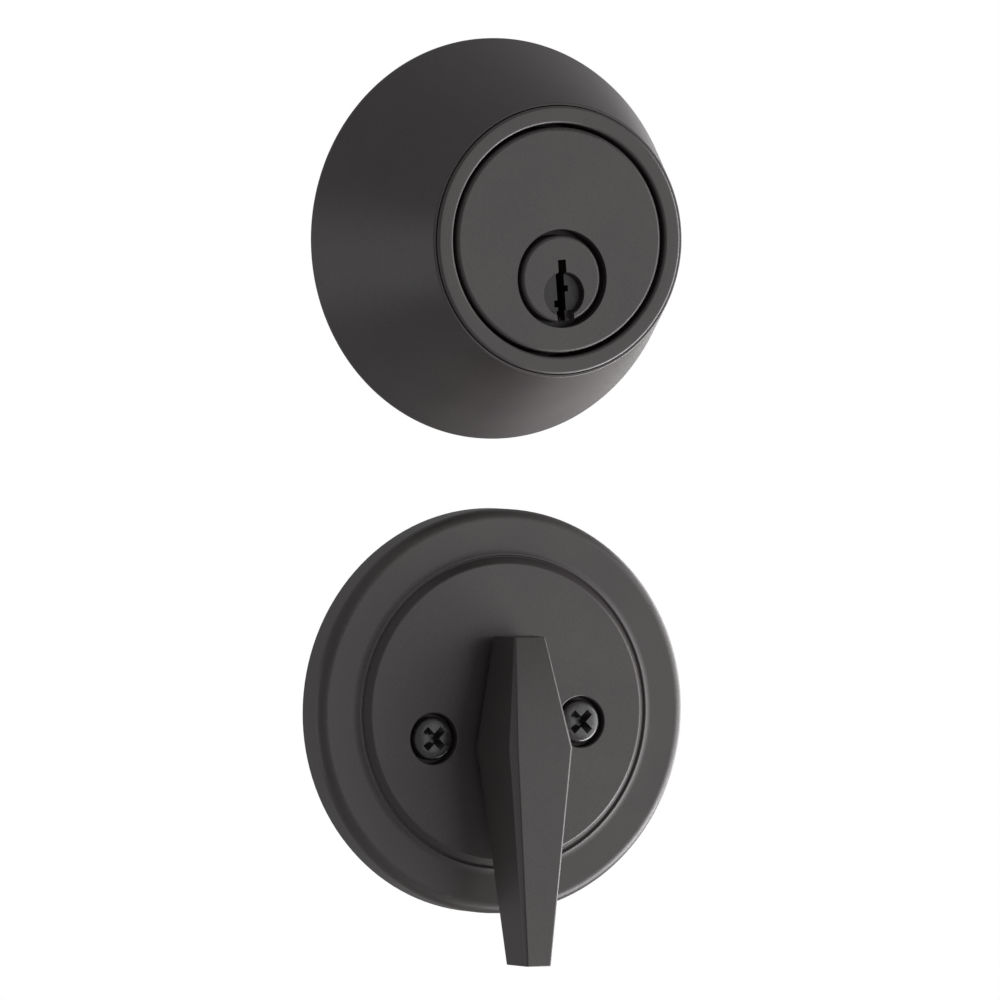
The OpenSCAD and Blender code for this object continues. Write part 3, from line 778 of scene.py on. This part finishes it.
def machine_screw(x, z):
    """One screw, its head's dome rounded and its core threaded to the outer radius of the CAD's
    plain shank."""
    place = Matrix.Translation((x, 0, z)) @ quarter
    core, crest, pitch, turns = 1.98, 0.38, 0.8, 44
    blank = turned([
        (0, screw_tip), (core - 0.8, screw_tip), (core, screw_tip + 0.9), (core, seat),
        (head_r - 0.15, seat), (head_r, seat + 0.15), *arc(head_r - 1, head_top - 1, 1, 0, 68, 6),
        (1.6, head_top - 0.02), (0, head_top),
    ], place, 64)
    punch = cross_cutter(4.6, 0.6, 1.9, place @ Matrix.Translation((0, 0, head_top * MM)))
    start = place @ Matrix.Translation((0, 0, (screw_tip + 1.2) * MM))
    ridge = spirals(*thread, start, black_steel, turns, (2.0, 2.0), turns * pitch, crest)
    return joined([cut(blank, punch), ridge])


corner = head_r * MM
mounting = [
    machine_screw(screws_low.x + corner, screws_low.z + corner),
    machine_screw(screws_high.x - corner, screws_high.z - corner),
]
piece(
    "mounting_screws_threaded", joined(mounting), black_steel, "lock", "black_screw", "mounting_screws"
)

# ------------------------------------------------------------------ faceplate and bolt tube
# The coated faceplate on the door's edge, the steel plate behind it, and the tube that carries
# the bolt and fits the bore in the door's edge.
piece("faceplate_coated", softened("faceplate", 0.2), bronze, "lock", "dark_bronze", "faceplate")
piece(
    "backing_plate_stamped", softened("backing_plate", 0.15), zinc_steel,
    "lock", "zinc_steel", "backing_plate",
)
piece("bolt_tube_rolled", softened("bolt_tube", 0.12), zinc_steel, "lock", "zinc_steel", "bolt_tube")

# ------------------------------------------------------------------ bolt case
# Two stamped steel sides that carry the cam, riveted through spacers
piece(
    "case_front_stamped", softened("case_front", 0.15), zinc_steel, "lock", "zinc_steel", "case_front"
)
piece("case_back_stamped", softened("case_back", 0.15), zinc_steel, "lock", "zinc_steel", "case_back")
piece("case_rivets_set", softened("case_rivets", 0.15), nickel, "lock", "nickel", "case_rivets")

# ------------------------------------------------------------------ cam
# A brass cam with a slot for the tailpiece and a crank pin that drives the bolt's tail
piece("cam_machined", softened("cam", 0.12), brass, "cam", "brass", "cam")

# ------------------------------------------------------------------ bolt
# The solid steel bolt with the hardened roller inside it that defeats a saw, and the stamped
# tail whose fork takes the cam's pin.
# Satin steel, belted along its length: long fine scratches that smear the light across
satin_steel = worked_metal(
    "belted_satin_steel", "#96979a", "#aeb0b2", (0.26, 0.4), (9, 0.12, 0.12), 0.008
)
# Ground and hardened: dark blue-grey and smooth
hard_steel = worked_metal(
    "ground_hard_steel", "#53555a", "#64666b", (0.16, 0.26), (0.1, 1.5, 1.5), 0.004
)
piece("bolt_head_belted", softened("bolt_head", 0.35), satin_steel, "bolt", "bolt_metal", "bolt_head")
piece("roller_pin_ground", softened("roller_pin", 0.2), hard_steel, "bolt", "hard_steel", "roller_pin")
piece("bolt_tail_stamped", softened("bolt_tail", 0.15), zinc_steel, "bolt", "zinc_steel", "bolt_tail")
piece("tail_pin_ground", softened("tail_pin", 0.15), hard_steel, "bolt", "hard_steel", "tail_pin")


# ------------------------------------------------------------------ faceplate and strike screws
# Flat-head wood screws, blackened like the mounting screws, with a coarse rolled thread: short
# ones for the faceplate and long ones that reach the wall's stud behind the strike.
def wood_screw(place, length, shank):
    """One wood screw with its head's top at place, pointing down place's z axis. Its neck is as
    thick as the thread's core, and the thread's crest reaches the shank's radius."""
    core, crest = shank - 0.5, 0.48
    blank = turned([
        (0, 0), (3.7, 0), (3.9, -0.15), (3.9, -0.4), (shank + 0.05, -2.3), (core + 0.1, -2.9),
        (core, 4 - length), (0.25, 0.1 - length), (0, -length),
    ], place, 64)
    punch = cross_cutter(4.4, 0.5, 1.7, place)
    pitch = 1.8
    straight = length - 8.4
    low = place @ Matrix.Translation((0, 0, (4 - length) * MM))
    tip = place @ Matrix.Translation((0, 0, (0.9 - length) * MM))
    body_ridge = spirals(*thread, low, black_steel, straight / pitch, (core, core), straight, crest)
    tip_ridge = spirals(*thread, tip, black_steel, 3.1 / pitch, (0.5, core), 3.1, 0.3)
    return joined([cut(blank, punch), body_ridge, tip_ridge])


def wood_screws(node, towards, shank):
    """The pair of wood screws of a plate. Towards is 1 where their heads look along +x."""
    low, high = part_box(node)
    head = high.x if towards > 0 else low.x
    turn = Matrix.Rotation(towards * math.pi / 2, 4, "Y")
    length = (high.x - low.x) / MM
    middle = (low.y + high.y) / 2
    return joined([
        wood_screw(Matrix.Translation((head, middle, z)) @ turn, length, shank)
        for z in (low.z + 3.9 * MM, high.z - 3.9 * MM)
    ])


for node, towards, shank in (("faceplate_screws", 1, 2), ("strike_screws", -1, 2.3)):
    pair = wood_screws(node, towards, shank)
    piece(node + "_threaded", pair, black_steel, "lock", "black_screw", node)

# ------------------------------------------------------------------ strike
# The coated strike plate on the door frame, the thick steel reinforcer behind it, and the
# moulded box that lines the bolt's hole in the frame.
def moulded_plastic():
    """Black polypropylene from a spark-eroded mould: matt, with a fine even grain."""
    material, tree, place = new_material("moulded_black_polypropylene")
    grain = noise(tree, place, 0.45)
    relief = add(tree, "ShaderNodeBump", None, {
        "Height": grain, "Distance": 0.04 * MM, "Strength": 0.4,
    })
    plastic = add(tree, "ShaderNodeBsdfPrincipled", None, {
        "Base Color": two_tones(tree, noise(tree, place, 5), 0.3, 0.7, "#242426", "#2b2b2d"),
        "Roughness": spread(tree, grain, 0.3, 0.7, 0.5, 0.62), "IOR": 1.49,
        "Normal": relief.outputs["Normal"],
    })
    add(tree, "ShaderNodeOutputMaterial", None, {"Surface": plastic.outputs["BSDF"]})
    return material


piece(
    "strike_plate_coated", softened("strike_plate", 0.2), bronze, "lock", "dark_bronze", "strike_plate"
)
piece(
    "strike_reinforcer_stamped", softened("strike_reinforcer", 0.2), zinc_steel,
    "lock", "zinc_steel", "strike_reinforcer",
)
piece(
    "strike_box_moulded", softened("strike_box", 0.3), moulded_plastic(),
    "lock", "black_plastic", "strike_box",
)
